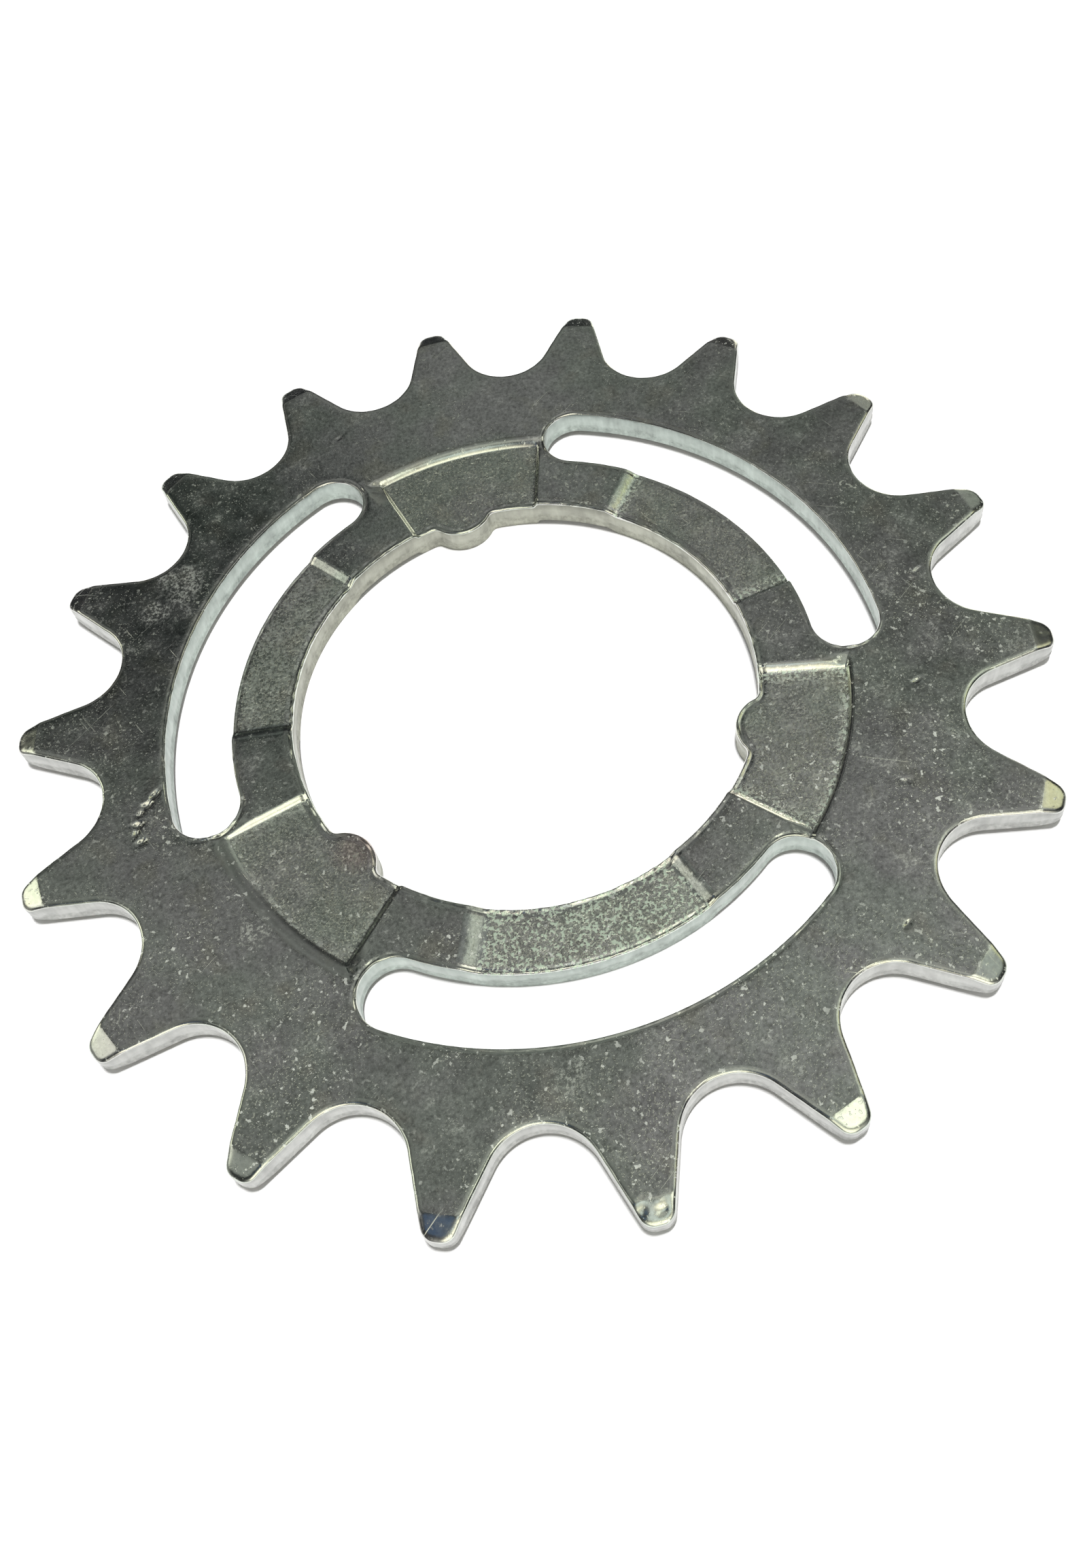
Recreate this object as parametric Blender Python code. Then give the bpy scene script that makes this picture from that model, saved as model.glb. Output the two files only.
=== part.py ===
"""Sprocket of a bicycle hub gear: 18 teeth for a half-inch pitch chain, pressed from one steel plate.

The bore slides over the hub's driver, whose three grooves take the three lugs. Three long slots lighten
the plate. Six sectors of the inner ring are pressed down: the wide one behind each lug, and a longer one
in the middle of each slot. Their undersides are the face that rests on the driver's flange.

The origin is on the axis, at the level of those undersides. +Z is the axis, out of the side with the
pressed-in sectors, and +Y runs through the middle of a tooth.
"""

import math

import bmesh
import bpy

MM = 0.001

# Teeth
TEETH = 18
CHAIN_PITCH = 12.7 * MM
SEAT_RADIUS = 3.9 * MM
SEAT_HALF_ANGLE = math.radians(61)
TIP_RADIUS = 39.8 * MM
TIP_CORNER_RADIUS = 1.0 * MM
TIP_CHAMFER_START = 38.2 * MM
TIP_CHAMFER_DEPTH = 0.45 * MM

# Plate
THICKNESS = 2.25 * MM
PRESS_DEPTH = 0.45 * MM

# Bore and its lugs. Every turn is counted anticlockwise from the tooth on +Y.
COPIES = 3
BORE_RADIUS = 17.8 * MM
LUG_TURN = math.radians(3.85)
LUG_TIP_RADIUS = 16.35 * MM
LUG_NOSE_RADIUS = 2.7 * MM
LUG_FILLET_RADIUS = 0.7 * MM

# Slots
SLOT_TURN = math.radians(2.4 + 60)
SLOT_INNER_RADIUS = 22.55 * MM
SLOT_OUTER_RADIUS = 27.72 * MM
SLOT_HALF_ANGLE = math.radians(40.8)

# Pressed sectors, measured at their floors
PRESS_TURN = math.radians(1.25)
LUG_SECTOR_HALF_ANGLE = math.radians(16.3)
LUG_SECTOR_RADIUS = 24.35 * MM
LUG_SECTOR_RAMP = 0.45 * MM
SLOT_SECTOR_HALF_ANGLE = math.radians(21.3)
SLOT_SECTOR_RAMP = 0.8 * MM

# How far the cutters and bosses reach past what they shape
CUTTER_MARGIN = 2.0 * MM
SECTOR_MARGIN = 0.6 * MM
SECTOR_INNER_RADIUS = 14.0 * MM
SLOT_SECTOR_RADIUS = (SLOT_INNER_RADIUS + SLOT_OUTER_RADIUS) / 2

# Straight steps along each round stretch of an outline
TIP_STEPS = 2
TIP_CORNER_STEPS = 4
SEAT_STEPS = 6
LUG_STEPS = 5
BORE_STEPS = 22
SLOT_STEPS = 24
SLOT_END_STEPS = 12
SECTOR_STEPS = 12
CHAMFER_STEPS = 144
WELD_DISTANCE = 0.001 * MM

PITCH_RADIUS = CHAIN_PITCH / 2 / math.sin(math.pi / TEETH)
TOP = THICKNESS + PRESS_DEPTH
QUARTER = math.pi / 2


def clear_scene():
    for obj in list(bpy.data.objects):
        bpy.data.objects.remove(obj)


def polar(radius, angle):
    return (radius * math.cos(angle), radius * math.sin(angle))


def turned(point, angle):
    x, y = point
    c, s = math.cos(angle), math.sin(angle)
    return (x * c - y * s, x * s + y * c)


def arc(centre, radius, start, end, steps):
    """Points along an arc, both ends included."""
    points = []
    for i in range(steps + 1):
        x, y = polar(radius, start + (end - start) * i / steps)
        points.append((centre[0] + x, centre[1] + y))
    return points


def half_tooth():
    """Half of a tooth whose middle lies on +X, from the middle of the tip to the bottom of the seat."""
    seat_centre = polar(PITCH_RADIUS, math.pi / TEETH)
    seat_bottom_angle = math.pi / TEETH - math.pi
    seat_end_angle = seat_bottom_angle + SEAT_HALF_ANGLE
    flank = polar(1.0, seat_end_angle + QUARTER)

    # The tip corner's centre lies at its radius from the flank and from the tip circle.
    offset = polar(SEAT_RADIUS + TIP_CORNER_RADIUS, seat_end_angle)
    start = (seat_centre[0] + offset[0], seat_centre[1] + offset[1])
    along = start[0] * flank[0] + start[1] * flank[1]
    across = start[0] ** 2 + start[1] ** 2 - (TIP_RADIUS - TIP_CORNER_RADIUS) ** 2
    travel = -along + math.sqrt(along**2 - across)
    corner = (start[0] + travel * flank[0], start[1] + travel * flank[1])
    corner_angle = math.atan2(corner[1], corner[0])

    tip = arc((0, 0), TIP_RADIUS, 0, corner_angle, TIP_STEPS)
    rounding = arc(corner, TIP_CORNER_RADIUS, corner_angle, seat_end_angle + math.pi, TIP_CORNER_STEPS)
    seat = arc(seat_centre, SEAT_RADIUS, seat_end_angle, seat_bottom_angle, SEAT_STEPS)
    return tip[:-1] + rounding + seat


def tooth_outline():
    """The whole outline, anticlockwise, with a tooth on +Y."""
    half = half_tooth()
    mirrored = [(x, -y) for x, y in half]
    tooth = mirrored[::-1][1:] + half[1:]
    outline = []
    for i in range(TEETH):
        turn = QUARTER + i * 2 * math.pi / TEETH
        outline += [turned(point, turn) for point in tooth]
    return outline


def bore_outline():
    """A circle with three rounded lugs that stand in from it, anticlockwise."""
    nose_centre = LUG_TIP_RADIUS + LUG_NOSE_RADIUS
    fillet_centre = BORE_RADIUS - LUG_FILLET_RADIUS
    reach = LUG_NOSE_RADIUS + LUG_FILLET_RADIUS
    cosine = (fillet_centre**2 + nose_centre**2 - reach**2) / (2 * fillet_centre * nose_centre)
    half_angle = math.acos(cosine)
    fillet = polar(fillet_centre, half_angle)
    meet_angle = math.atan2(fillet[1], fillet[0] - nose_centre)
    nose = arc((nose_centre, 0), LUG_NOSE_RADIUS, math.pi, meet_angle, LUG_STEPS)
    blend = arc(fillet, LUG_FILLET_RADIUS, meet_angle - math.pi, half_angle, LUG_STEPS)
    half = nose + blend[1:]
    mirrored = [(x, -y) for x, y in half]
    lug = mirrored[::-1][:-1] + half
    gap = 2 * math.pi / COPIES - 2 * half_angle
    plain = arc((0, 0), BORE_RADIUS, half_angle, half_angle + gap, BORE_STEPS)[1:-1]
    outline = []
    for i in range(COPIES):
        turn = QUARTER + LUG_TURN + i * 2 * math.pi / COPIES
        outline += [turned(point, turn) for point in lug + plain]
    return outline


def slot_outline(turn):
    """A slot bent along a circle, with round ends, its middle at the angle turn."""
    middle = (SLOT_INNER_RADIUS + SLOT_OUTER_RADIUS) / 2
    end_radius = (SLOT_OUTER_RADIUS - SLOT_INNER_RADIUS) / 2
    half = SLOT_HALF_ANGLE - math.asin(end_radius / middle)
    first, last = turn - half, turn + half
    outer = arc((0, 0), SLOT_OUTER_RADIUS, first, last, SLOT_STEPS)
    inner = arc((0, 0), SLOT_INNER_RADIUS, last, first, SLOT_STEPS)
    last_end = arc(polar(middle, last), end_radius, last, last + math.pi, SLOT_END_STEPS)
    first_end = arc(polar(middle, first), end_radius, first + math.pi, first + 2 * math.pi, SLOT_END_STEPS)
    return outer + last_end[1:-1] + inner + first_end[1:-1]


def sector_outline(turn, half_angle, radius, spread):
    """A ring sector with its two straight sides and its outer arc moved out by spread."""
    outer_half = half_angle + math.asin(spread / (radius + spread))
    inner_half = half_angle + math.asin(spread / SECTOR_INNER_RADIUS)
    outer = arc((0, 0), radius + spread, turn - outer_half, turn + outer_half, SECTOR_STEPS)
    inner = [polar(SECTOR_INNER_RADIUS, turn + inner_half), polar(SECTOR_INNER_RADIUS, turn - inner_half)]
    return outer + inner


def add_object(name, bm):
    mesh = bpy.data.meshes.new(name)
    bm.to_mesh(mesh)
    bm.free()
    obj = bpy.data.objects.new(name, mesh)
    bpy.context.scene.collection.objects.link(obj)
    return obj


def loft(name, sections):
    """A closed solid through outlines of equal length, given as (outline, height) from the lowest up."""
    bm = bmesh.new()
    rings = [[bm.verts.new((x, y, z)) for x, y in outline] for outline, z in sections]
    bm.faces.new(rings[0][::-1])
    bm.faces.new(rings[-1])
    for low, high in zip(rings, rings[1:]):
        for i in range(len(low)):
            j = (i + 1) % len(low)
            bm.faces.new((low[i], low[j], high[j], high[i]))
    return add_object(name, bm)


def pressed_sector(name, turn, half_angle, radius, ramp, floor):
    """The shape between a sector's floor and the level one press depth above it, and a little more.

    The sides rise to the upper level over the ramp's width, and keep their slope past it.
    """
    rise = PRESS_DEPTH + SECTOR_MARGIN
    sections = [
        (sector_outline(turn, half_angle, radius, 0.0), floor),
        (sector_outline(turn, half_angle, radius, ramp * rise / PRESS_DEPTH), floor + rise),
    ]
    return loft(name, sections)


def chamfer_cutter(name, face, side):
    """A ring that cuts the tooth tips back to a cone. side is 1 for the front face and -1 for the rear."""
    outside = TIP_RADIUS + CUTTER_MARGIN
    drop = TIP_CHAMFER_DEPTH * (outside - TIP_CHAMFER_START) / (TIP_RADIUS - TIP_CHAMFER_START)
    profile = [
        (TIP_CHAMFER_START, face),
        (outside, face - side * drop),
        (outside, face + side * CUTTER_MARGIN),
    ]
    bm = bmesh.new()
    verts = [bm.verts.new((radius, 0.0, z)) for radius, z in profile]
    edges = [bm.edges.new((verts[i], verts[(i + 1) % 3])) for i in range(3)]
    geometry = verts + edges
    bmesh.ops.spin(bm, geom=geometry, axis=(0, 0, 1), angle=2 * math.pi, steps=CHAMFER_STEPS)
    bmesh.ops.remove_doubles(bm, verts=bm.verts, dist=WELD_DISTANCE)
    bmesh.ops.recalc_face_normals(bm, faces=bm.faces)
    return add_object(name, bm)


def boolean(obj, operation, helper):
    modifier = obj.modifiers.new(helper.name, "BOOLEAN")
    modifier.operation = operation
    modifier.object = helper
    helper.hide_render = True
    helper.display_type = "WIRE"


def zinc_plated_steel():
    material = bpy.data.materials.new("zinc_plated_steel")
    material.use_nodes = True
    shader = material.node_tree.nodes["Principled BSDF"]
    shader.inputs["Base Color"].default_value = (0.50, 0.52, 0.49, 1.0)
    shader.inputs["Metallic"].default_value = 1.0
    shader.inputs["Roughness"].default_value = 0.32
    return material


def sprocket():
    body = loft("sprocket", [(tooth_outline(), PRESS_DEPTH), (tooth_outline(), TOP)])
    boolean(body, "DIFFERENCE", chamfer_cutter("front_chamfer_cutter", TOP, 1))
    boolean(body, "DIFFERENCE", chamfer_cutter("rear_chamfer_cutter", PRESS_DEPTH, -1))

    third = 2 * math.pi / COPIES
    for i in range(COPIES):
        lug_turn = QUARTER + PRESS_TURN + i * third
        slot_turn = lug_turn + third / 2
        kinds = (
            ("lug_sector", lug_turn, LUG_SECTOR_HALF_ANGLE, LUG_SECTOR_RADIUS, LUG_SECTOR_RAMP),
            ("slot_sector", slot_turn, SLOT_SECTOR_HALF_ANGLE, SLOT_SECTOR_RADIUS, SLOT_SECTOR_RAMP),
        )
        for name, turn, half_angle, radius, ramp in kinds:
            boss = pressed_sector(f"{name}_boss_{i}", turn, half_angle, radius, ramp, 0.0)
            pocket = pressed_sector(f"{name}_pocket_{i}", turn, half_angle, radius, ramp, THICKNESS)
            boolean(body, "UNION", boss)
            boolean(body, "DIFFERENCE", pocket)

    below, above = -CUTTER_MARGIN, TOP + CUTTER_MARGIN
    boolean(body, "DIFFERENCE", loft("bore_cutter", [(bore_outline(), below), (bore_outline(), above)]))
    for i in range(COPIES):
        outline = slot_outline(QUARTER + SLOT_TURN + i * third)
        boolean(body, "DIFFERENCE", loft(f"slot_cutter_{i}", [(outline, below), (outline, above)]))

    body.data.materials.append(zinc_plated_steel())
    return body


clear_scene()
sprocket()
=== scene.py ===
"""The looks of the hub gear sprocket: one fine mesh of the pressed steel plate, its zinc plating, a floor,
a studio and a camera.

Lengths are in millimetres until the mesh is made. The plate's outline, slots and pressed sectors have the
same driving dimensions as the CAD solid, which it replaces. Angles are counted anticlockwise from +X.
"""

import math

import bpy
import numpy as np
from mathutils import Matrix, Vector, geometry, kdtree, noise


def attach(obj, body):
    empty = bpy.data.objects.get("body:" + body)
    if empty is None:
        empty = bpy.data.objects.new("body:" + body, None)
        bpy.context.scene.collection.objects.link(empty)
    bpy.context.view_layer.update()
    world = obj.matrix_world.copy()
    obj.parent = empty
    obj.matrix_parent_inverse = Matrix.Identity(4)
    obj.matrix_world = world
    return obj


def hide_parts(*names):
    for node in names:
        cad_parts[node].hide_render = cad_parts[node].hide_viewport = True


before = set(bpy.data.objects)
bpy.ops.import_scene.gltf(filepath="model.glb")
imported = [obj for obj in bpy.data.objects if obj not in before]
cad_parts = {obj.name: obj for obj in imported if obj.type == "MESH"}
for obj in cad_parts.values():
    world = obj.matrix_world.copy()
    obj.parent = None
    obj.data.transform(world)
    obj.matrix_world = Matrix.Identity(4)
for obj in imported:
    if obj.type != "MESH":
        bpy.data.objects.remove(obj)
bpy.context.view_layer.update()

MM = 0.001
QUARTER = math.pi / 2
THIRD = 2 * math.pi / 3

# Driving dimensions, the CAD solid's
TEETH = 18
CHAIN_PITCH = 12.7
SEAT_RADIUS = 3.9
SEAT_HALF_ANGLE = math.radians(61)
TIP_RADIUS = 39.8
TIP_CORNER_RADIUS = 1.0
CHAMFER_START = 38.2
CHAMFER_DEPTH = 0.45
THICKNESS = 2.25
PRESS_DEPTH = 0.45
COPIES = 3
BORE_RADIUS = 17.8
LUG_TURN = math.radians(3.85)
LUG_TIP_RADIUS = 16.35
LUG_NOSE_RADIUS = 2.7
LUG_FILLET_RADIUS = 0.7
SLOT_TURN = math.radians(2.4 + 60)
SLOT_INNER_RADIUS = 22.55
SLOT_OUTER_RADIUS = 27.72
SLOT_HALF_ANGLE = math.radians(40.8)
PRESS_TURN = math.radians(1.25)
LUG_SECTOR_HALF_ANGLE = math.radians(16.3)
LUG_SECTOR_RADIUS = 24.35
SLOT_SECTOR_HALF_ANGLE = math.radians(21.3)

PITCH_RADIUS = CHAIN_PITCH / 2 / math.sin(math.pi / TEETH)
SLOT_MIDDLE_RADIUS = (SLOT_INNER_RADIUS + SLOT_OUTER_RADIUS) / 2
TOP = THICKNESS + PRESS_DEPTH

# Fine shape, which the CAD solid leaves out
FOOT_ROUNDING = 0.25
LUG_ARC_RAMPS = (1.1, 1.5, 0.52)
LUG_ARC_POWER = 2.3
LUG_ARC_ROUNDING = 0.06
CORNER_DIP = 0.6
CORNER_DIP_LENGTH = 2.4
CORNER_DIP_WIDTH = 1.4
# Each pressed side, by copy and sense of turn: where its ramp starts, its width and its top's rounding
LUG_SIDES = {
    (0, -1): (0.15, 0.3, 0.1), (0, 1): (-0.25, 0.38, 0.12),
    (1, -1): (0.1, 0.34, 0.15), (1, 1): (0.1, 0.45, 0.15),
    (2, -1): (-0.25, 0.68, 0.14), (2, 1): (0.0, 0.5, 0.35),
}
SLOT_SIDES = {
    (0, -1): (0.0, 0.74, 0.2), (0, 1): (0.1, 0.75, 0.5),
    (1, -1): (0.0, 1.3, 0.5), (1, 1): (0.0, 0.75, 0.35),
    (2, -1): (0.2, 0.32, 0.1), (2, 1): (-0.1, 0.8, 0.5),
}
# How strongly each copy's floor is marked and lightened, in its middle and along its sides, from 0 to 1: it
# sets the coined curls and the grooves along the punched edges, and a painted sheen given copy by copy
LUG_BURNISH_AND_SHEEN = ((0.0, 0.15), (0.15, 0.5), (0.3, 0.85))
SLOT_BURNISH_AND_SHEEN = ((0.4, 0.4), (1.0, 1.0), (0.15, 0.85))
# How far the painted sheen reaches in from a floor's sides, the reach of the painted highlight band inside a
# lug sector's arc and how far in it lies, and the fade past a floor's side
BURNISH_AND_SHEEN_SIDE = 1.4
RIM_SHEEN_REACH = 0.55
RIM_SHEEN_OFFSET = 0.15
BURNISH_AND_SHEEN_FADE = 0.3
RING_STEP = 0.035
RING_STEP_WIDTH = 0.14
CREST = 0.03
# Waviness of the faces: (size, height) of each layer
WAVES = ((7.0, 0.006), (2.2, 0.0012))
COINED_WAVES = ((1.1, 0.004), (0.4, 0.0025))
CHAMFER_WAVES = ((1.2, 0.012), (0.45, 0.007))
CHAMFER_BLEND = 0.05
FACE_ALLOWANCE = 0.004
CORNER_OUT = 0.5
CORNER_TURN = 0.03
CRINKLE_SIZE = 0.55
CRINKLE_DEPTH = 0.07
CRINKLE_REACH = 2.0
CORNER_BURR_REACH = 4.0

# Nicks in the face: (place, length, width, turn in degrees, depth)
NICKS = (
    ((-28.7, -1.1), 1.1, 0.24, 35, 0.22),
    ((-29.3, -1.8), 0.8, 0.26, 15, 0.25),
    ((-29.9, -2.5), 0.9, 0.22, 50, 0.2),
    ((-30.1, -3.3), 0.8, 0.26, 10, 0.25),
    ((-30.3, -4.0), 0.9, 0.22, 70, 0.2),
    ((-29.9, -4.8), 0.7, 0.24, 20, 0.22),
    ((31.8, 1.4), 0.6, 0.16, 25, 0.12),
    ((31.2, 0.7), 0.5, 0.14, 150, 0.1),
    ((28.2, -8.0), 0.6, 0.18, 10, 0.14),
    ((24.6, -15.6), 0.5, 0.16, 160, 0.12),
    ((20.9, -25.6), 0.6, 0.18, 35, 0.14),
    ((-10.0, 29.7), 0.7, 0.16, 30, 0.1),
    ((-3.0, -31.3), 1.6, 0.12, -55, 0.05),
    ((-0.9, -38.8), 0.7, 0.3, 60, 0.05),
    ((0.4, -39.0), 0.8, 0.3, 20, 0.06),
)

# Sections of the punched edges: (distance in from the edge, depth of its roll, depth of the groove that
# the pressing left), where a negative groove is a lip
OUTLINE_EDGE = (
    (0.45, 0.0, 0.0), (0.32, 0.006, 0.0), (0.21, 0.018, 0.0), (0.13, 0.038, 0.0), (0.07, 0.07, 0.0),
    (0.03, 0.11, 0.0), (0.0, 0.17, 0.0),
)
BORE_EDGE = (
    (0.7, 0.0, 0.0), (0.54, 0.006, 0.015), (0.42, 0.014, 0.07), (0.32, 0.024, 0.07), (0.2, 0.042, -0.13),
    (0.12, 0.06, -0.15), (0.05, 0.09, -0.08), (0.0, 0.15, 0.0),
)
SLOT_EDGE = (
    (0.5, 0.0, 0.0), (0.38, 0.006, 0.01), (0.3, 0.014, 0.045), (0.22, 0.022, 0.04), (0.13, 0.035, -0.095),
    (0.07, 0.055, -0.09), (0.03, 0.085, -0.04), (0.0, 0.14, 0.0),
)
# How near an edge the face looks worked
EDGE_WORKED_WITHIN = 0.35
# How much the rolls and burrs vary along an edge, and the burrs' least share away from the pressed floors
EDGE_RAGGEDNESS = 0.3
BURR_SIZE = 0.7
BURR_RAGGEDNESS = 1.3
BURR_LEAST = 0.45
# Section of the rear corner: (distance in from the edge, rise above the rear face)
REAR_EDGE = ((0.0, 0.06), (0.02, 0.02), (0.07, 0.0))
# Section of the wall between front and rear: (share of its height, distance in, depth of the torn grain)
WALL = ((0.3, 0.0, 0.004), (0.55, 0.0, 0.008), (0.64, 0.035, 0.03), (0.76, 0.045, 0.045), (0.9, 0.03, 0.04))
TEAR_SIZE = 0.45

# A triangle is part of a floor if its least coined corner is above the first, and of a ramp if its most
# coined corner is above the second
COINED_FROM = 0.95
RAMP_FROM = 0.06
BENT_MARGIN = 0.1

# Spacing of the mesh's points, and the extra lines that they follow
OUTLINE_SPACING = 0.22
HOLE_SPACING = 0.14
GRID_SPACING = 0.5
FINE_SPACING = 0.14
LINE_SPACING = 0.3
GRID_CLEARANCE = 0.13
FINE_CLEARANCE = 0.6 * FINE_SPACING
LINE_END_GAP = 0.05
DIP_LINES = (1.1, 1.35)
ARC_LINE_SHARES = (0.16, 0.3, 0.45, 0.63, 0.83, 1.0)
CHAMFER_LINES = (-CREST, CREST, 0.35, 0.6, 0.85)
CHAMFER_LINE_HALF_ANGLE = 0.033
CHAMFER_LINE_SPACING = 0.2


# Outlines

def polar(radius, angle):
    return np.array((radius * math.cos(angle), radius * math.sin(angle)))


def turned(points, angle):
    c, s = math.cos(angle), math.sin(angle)
    return points @ np.array(((c, s), (-s, c)))


def arc(centre, radius, start, end, spacing):
    steps = max(3, round(abs(end - start) * radius / spacing))
    angles = np.linspace(start, end, steps + 1)
    return np.column_stack((centre[0] + radius * np.cos(angles), centre[1] + radius * np.sin(angles)))


def straight(start, end, spacing):
    steps = max(1, round(float(np.linalg.norm(end - start)) / spacing))
    return start + np.linspace(0, 1, steps + 1)[:, None] * (end - start)


def tooth_outline(spacing):
    """The whole outline, anticlockwise, from a half tooth whose middle lies on +X."""
    seat_centre = polar(PITCH_RADIUS, math.pi / TEETH)
    bottom_angle = math.pi / TEETH - math.pi
    end_angle = bottom_angle + SEAT_HALF_ANGLE
    flank = polar(1.0, end_angle + QUARTER)
    start = seat_centre + polar(SEAT_RADIUS + TIP_CORNER_RADIUS, end_angle)
    along = start @ flank
    reach = TIP_RADIUS - TIP_CORNER_RADIUS
    corner = start + (math.sqrt(along**2 - start @ start + reach**2) - along) * flank
    corner_angle = math.atan2(corner[1], corner[0])
    tip = arc((0, 0), TIP_RADIUS, 0, corner_angle, spacing)
    rounding = arc(corner, TIP_CORNER_RADIUS, corner_angle, end_angle + math.pi, spacing)
    seat = arc(seat_centre, SEAT_RADIUS, end_angle, bottom_angle, spacing)
    half = np.vstack((tip[:-1], rounding[:-1], straight(rounding[-1], seat[0], spacing)[:-1], seat))
    tooth = np.vstack((half[::-1][1:] * (1, -1), half[1:]))
    return np.vstack([turned(tooth, QUARTER + i * 2 * math.pi / TEETH) for i in range(TEETH)])


def bore_outline(spacing):
    nose_centre = LUG_TIP_RADIUS + LUG_NOSE_RADIUS
    fillet_centre = BORE_RADIUS - LUG_FILLET_RADIUS
    reach = LUG_NOSE_RADIUS + LUG_FILLET_RADIUS
    half_angle = math.acos((fillet_centre**2 + nose_centre**2 - reach**2) / (2 * fillet_centre * nose_centre))
    fillet = polar(fillet_centre, half_angle)
    meet = math.atan2(fillet[1], fillet[0] - nose_centre)
    nose = arc((nose_centre, 0), LUG_NOSE_RADIUS, math.pi, meet, spacing)
    root = arc(fillet, LUG_FILLET_RADIUS, meet - math.pi, half_angle, spacing)
    half = np.vstack((nose, root[1:]))
    plain = arc((0, 0), BORE_RADIUS, half_angle, THIRD - half_angle, spacing)[1:-1]
    lug = np.vstack((half[::-1][:-1] * (1, -1), half, plain))
    return np.vstack([turned(lug, QUARTER + LUG_TURN + i * THIRD) for i in range(COPIES)])


def slot_outline(turn, spacing):
    end_radius = (SLOT_OUTER_RADIUS - SLOT_INNER_RADIUS) / 2
    half = SLOT_HALF_ANGLE - math.asin(end_radius / SLOT_MIDDLE_RADIUS)
    first, last = turn - half, turn + half
    outer = arc((0, 0), SLOT_OUTER_RADIUS, first, last, spacing)
    inner = arc((0, 0), SLOT_INNER_RADIUS, last, first, spacing)
    last_centre, first_centre = polar(SLOT_MIDDLE_RADIUS, last), polar(SLOT_MIDDLE_RADIUS, first)
    last_end = arc(last_centre, end_radius, last, last + math.pi, spacing)
    first_end = arc(first_centre, end_radius, first + math.pi, first + 2 * math.pi, spacing)
    return np.vstack((outer, last_end[1:-1], inner, first_end[1:-1]))


def edge_loops():
    """Every edge of the plate, with the metal on its left: the outline anticlockwise, the holes clockwise."""
    loops = [tooth_outline(OUTLINE_SPACING), bore_outline(HOLE_SPACING)[::-1]]
    for i in range(COPIES):
        loops.append(slot_outline(QUARTER + SLOT_TURN + i * THIRD, HOLE_SPACING)[::-1])
    return loops


def into_metal(loop):
    along = np.roll(loop, -1, 0) - np.roll(loop, 1, 0)
    along /= np.linalg.norm(along, axis=1)[:, None]
    return np.column_stack((-along[:, 1], along[:, 0]))


# Relief: how far each point of a face lies below the plate's level

def ramp(distance, width, foot, top):
    """1 up to distance 0, 0 from the width on, straight between, with its foot and top rounded."""
    t = distance / width
    k, m = foot / width, top / width
    y = np.clip(t, 0, 1)
    y = np.where(np.abs(t) < k, (t + k) ** 2 / (4 * k), y)
    y = np.where(np.abs(t - 1) < m, 1 - (1 - t + m) ** 2 / (4 * m), y)
    return 1 - y


def wrapped(angle):
    return (angle + math.pi) % (2 * math.pi) - math.pi


def smooth(share):
    share = np.clip(share, 0, 1)
    return share * share * (3 - 2 * share)


def pressed_side(side, shape):
    start, width, top = shape
    return ramp(side - start, width, FOOT_ROUNDING * width, top)


def corner_dip(side, radius):
    """The ring beside a lug sector dips towards the sector's outer corner."""
    dip = CORNER_DIP * smooth(1 - (LUG_SECTOR_RADIUS - radius) / CORNER_DIP_LENGTH)
    return dip * smooth(1 - side / CORNER_DIP_WIDTH)


def lug_arc(out, width):
    """A lug sector's outer side: it steepens from the plate down to the floor."""
    share = np.clip(1 - np.maximum(out, LUG_ARC_ROUNDING) / width, 0, 1) ** LUG_ARC_POWER
    foot = (1 - LUG_ARC_ROUNDING / width) ** LUG_ARC_POWER
    rounded = foot + (1 - foot) * np.minimum(2 * smooth(0.5 - out / (2 * LUG_ARC_ROUNDING)), 1)
    return np.where(out < LUG_ARC_ROUNDING, rounded, share)


def sectors(points):
    """For each side of each sector: its copy, its sense, what turns that way, and the distance out."""
    radius, angle = np.hypot(points[:, 0], points[:, 1]), np.arctan2(points[:, 1], points[:, 0])
    for i in range(COPIES):
        middle = QUARTER + PRESS_TURN + i * THIRD
        for sense in (-1, 1):
            off = sense * wrapped(angle - middle)
            lug = radius * np.sin(np.clip(off - LUG_SECTOR_HALF_ANGLE, -1, 1))
            off_slot = sense * wrapped(angle - middle - THIRD / 2)
            slot = radius * np.sin(np.clip(off_slot - SLOT_SECTOR_HALF_ANGLE, -1, 1))
            yield i, sense, off >= 0, lug, off_slot >= 0, slot


def relief(points):
    """Depth of the pressing at each point, and how much of it is coined: 0 on the plate, 1 on a floor."""
    radius = np.hypot(points[:, 0], points[:, 1])
    within = radius < SLOT_MIDDLE_RADIUS
    floors = np.zeros(len(points))
    for i, sense, by_lug, lug, by_slot, slot in sectors(points):
        side = np.maximum(pressed_side(lug, LUG_SIDES[i, sense]), corner_dip(lug, radius))
        out = lug_arc(radius - LUG_SECTOR_RADIUS, LUG_ARC_RAMPS[i])
        floors = np.maximum(floors, np.minimum(side, out) * by_lug)
        floors = np.maximum(floors, pressed_side(slot, SLOT_SIDES[i, sense]) * within * by_slot)
    ring = ramp(radius - LUG_SECTOR_RADIUS, RING_STEP_WIDTH, RING_STEP_WIDTH / 3, RING_STEP_WIDTH / 3)
    return np.maximum(PRESS_DEPTH * floors, RING_STEP * ring), floors


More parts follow.
